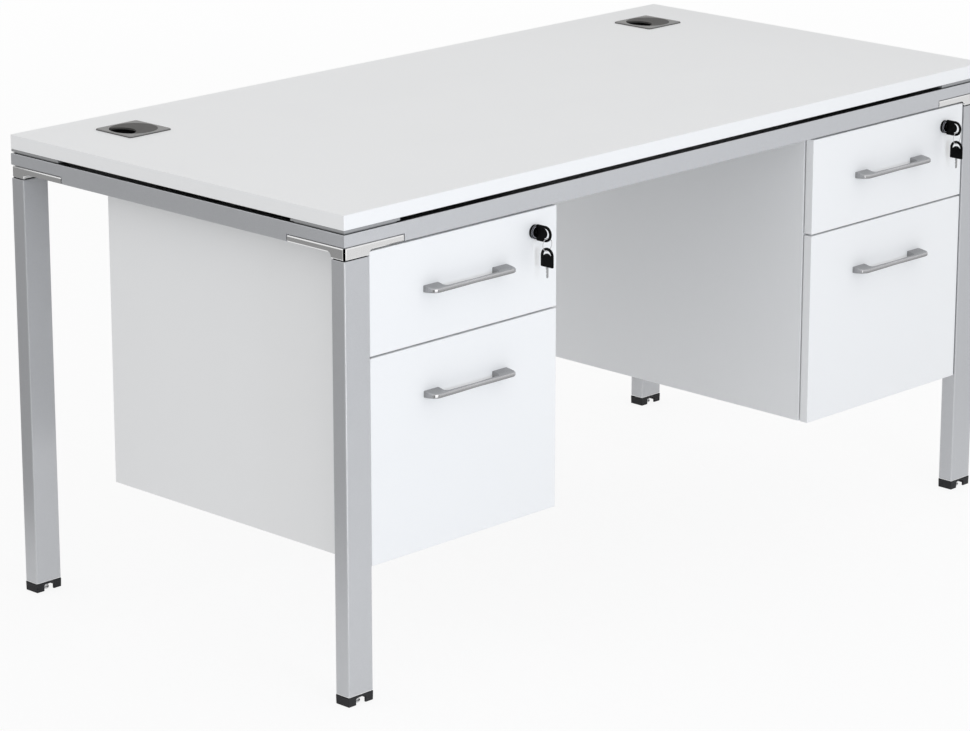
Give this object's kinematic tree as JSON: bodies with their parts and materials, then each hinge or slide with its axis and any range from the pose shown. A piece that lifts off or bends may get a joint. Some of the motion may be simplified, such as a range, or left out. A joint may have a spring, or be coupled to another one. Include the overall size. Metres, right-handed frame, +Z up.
{
  "type": "pedestal desk",
  "caption": "Rectangular office desk on a tube frame with cast corners, lockable drawer cabinets hung under both ends and cable ports in the worktop.",
  "frame": {"origin": "on the floor, under the middle of the whole footprint with the hanging keys", "axes": "+X along the width to the sitter's right, +Y from the drawer fronts to the back, +Z up"},
  "size_m": [1.5, 0.7874, 0.7525],
  "materials": {
    "white_board": "white melamine, satin",
    "silver_frame": "silver-grey powder coat",
    "polished_casting": "polished",
    "spacer_grey": "grey, matt",
    "black_plastic": "fine grain",
    "grey_plastic": "fine grain",
    "satin_handle": "satin",
    "zinc_steel": "zinc plated",
    "drawer_steel": "grey coat",
    "black_lock": "black, glossy",
    "black_key": "moulded"
  },
  "bodies": {
    "frame": {"cabinet_runners": "zinc_steel", "cable_port_ring_left": "grey_plastic", "cable_port_ring_right": "grey_plastic", "corner_casting_back_left": "polished_casting", "corner_casting_back_right": "polished_casting", "corner_casting_front_left": "polished_casting", "corner_casting_front_right": "polished_casting", "desktop": "white_board", "fixing_screws": "zinc_steel", "foot_caps": "black_plastic", "left_pedestal_back": "white_board", "left_pedestal_base": "white_board", "left_pedestal_lid": "white_board", "left_pedestal_sides": "white_board", "leg_back_left": "silver_frame", "leg_back_right": "silver_frame", "leg_front_left": "silver_frame", "leg_front_right": "silver_frame", "pedestal_hangers": "zinc_steel", "rail_back": "silver_frame", "rail_front": "silver_frame", "rail_left": "silver_frame", "rail_right": "silver_frame", "right_pedestal_back": "white_board", "right_pedestal_base": "white_board", "right_pedestal_lid": "white_board", "right_pedestal_sides": "white_board", "spacer_plates": "spacer_grey"},
    "left_upper_drawer": {"left_upper_drawer_front": "white_board", "left_upper_drawer_tray": "drawer_steel", "left_upper_drawer_slides": "zinc_steel", "left_upper_drawer_handle": "satin_handle", "left_lock_case": "black_lock"},
    "left_lower_drawer": {"left_lower_drawer_front": "white_board", "left_lower_drawer_tray": "drawer_steel", "left_lower_drawer_slides": "zinc_steel", "left_lower_drawer_handle": "satin_handle"},
    "left_lock": {"left_lock_barrel": "black_lock", "left_key": "black_key"},
    "left_hanging_ring": {"left_key_ring": "zinc_steel"},
    "left_hanging_key": {"left_spare_key": "black_key"},
    "right_upper_drawer": {"right_upper_drawer_front": "white_board", "right_upper_drawer_tray": "drawer_steel", "right_upper_drawer_slides": "zinc_steel", "right_upper_drawer_handle": "satin_handle", "right_lock_case": "black_lock"},
    "right_lower_drawer": {"right_lower_drawer_front": "white_board", "right_lower_drawer_tray": "drawer_steel", "right_lower_drawer_slides": "zinc_steel", "right_lower_drawer_handle": "satin_handle"},
    "right_lock": {"right_lock_barrel": "black_lock", "right_key": "black_key"},
    "right_hanging_ring": {"right_key_ring": "zinc_steel"},
    "right_hanging_key": {"right_spare_key": "black_key"},
    "cable_lid_left": {"cable_port_lid_left": "grey_plastic"},
    "cable_lid_right": {"cable_port_lid_right": "grey_plastic"},
    "leveller_front_left": {"levelling_screw_front_left": "zinc_steel"},
    "leveller_front_right": {"levelling_screw_front_right": "zinc_steel"},
    "leveller_back_left": {"levelling_screw_back_left": "zinc_steel"},
    "leveller_back_right": {"levelling_screw_back_right": "zinc_steel"}
  },
  "joints": [
    {"name": "left_upper_drawer_slide", "type": "slide", "parent": "frame", "child": "left_upper_drawer", "axis": [0, -1, 0], "range_m": [0, 0.38]},
    {"name": "left_lower_drawer_slide", "type": "slide", "parent": "frame", "child": "left_lower_drawer", "axis": [0, -1, 0], "range_m": [0, 0.38]},
    {"name": "left_lock_turn", "type": "hinge", "parent": "left_upper_drawer", "child": "left_lock", "pos_m": [-0.3535, -0.35397, 0.6545], "axis": [0, 1, 0], "range_deg": [0, 90]},
    {"name": "left_ring_hang", "type": "hinge", "parent": "left_lock", "child": "left_hanging_ring", "pos_m": [-0.3535, -0.38122, 0.64494], "axis": [0, 1, 0], "range_deg": [-90, 0]},
    {"name": "left_spare_key_swing", "type": "hinge", "parent": "left_hanging_ring", "child": "left_hanging_key", "pos_m": [-0.3535, -0.38122, 0.62904], "axis": [1, 0, 0], "range_deg": [-75, 35]},
    {"name": "right_upper_drawer_slide", "type": "slide", "parent": "frame", "child": "right_upper_drawer", "axis": [0, -1, 0], "range_m": [0, 0.38]},
    {"name": "right_lower_drawer_slide", "type": "slide", "parent": "frame", "child": "right_lower_drawer", "axis": [0, -1, 0], "range_m": [0, 0.38]},
    {"name": "right_lock_turn", "type": "hinge", "parent": "right_upper_drawer", "child": "right_lock", "pos_m": [0.6485, -0.35397, 0.6545], "axis": [0, 1, 0], "range_deg": [0, 90]},
    {"name": "right_ring_hang", "type": "hinge", "parent": "right_lock", "child": "right_hanging_ring", "pos_m": [0.6485, -0.38122, 0.64494], "axis": [0, 1, 0], "range_deg": [-90, 0]},
    {"name": "right_spare_key_swing", "type": "hinge", "parent": "right_hanging_ring", "child": "right_hanging_key", "pos_m": [0.6485, -0.38122, 0.62904], "axis": [1, 0, 0], "range_deg": [-75, 35]},
    {"name": "cable_lid_left_turn", "type": "hinge", "parent": "frame", "child": "cable_lid_left", "pos_m": [-0.595, 0.28113, 0.75], "axis": [0, 0, 1], "continuous": true},
    {"name": "cable_lid_right_turn", "type": "hinge", "parent": "frame", "child": "cable_lid_right", "pos_m": [0.608, 0.28113, 0.75], "axis": [0, 0, 1], "continuous": true},
    {"name": "leveller_front_left_travel", "type": "slide", "parent": "frame", "child": "leveller_front_left", "axis": [0, 0, -1], "range_m": [0, 0.012]},
    {"name": "leveller_front_right_travel", "type": "slide", "parent": "frame", "child": "leveller_front_right", "axis": [0, 0, -1], "range_m": [0, 0.012]},
    {"name": "leveller_back_left_travel", "type": "slide", "parent": "frame", "child": "leveller_back_left", "axis": [0, 0, -1], "range_m": [0, 0.012]},
    {"name": "leveller_back_right_travel", "type": "slide", "parent": "frame", "child": "leveller_back_right", "axis": [0, 0, -1], "range_m": [0, 0.012]}
  ],
  "couplings": [
    {"joint": "left_ring_hang", "follows": "left_lock_turn", "ratio": -1},
    {"joint": "right_ring_hang", "follows": "right_lock_turn", "ratio": -1}
  ]
}
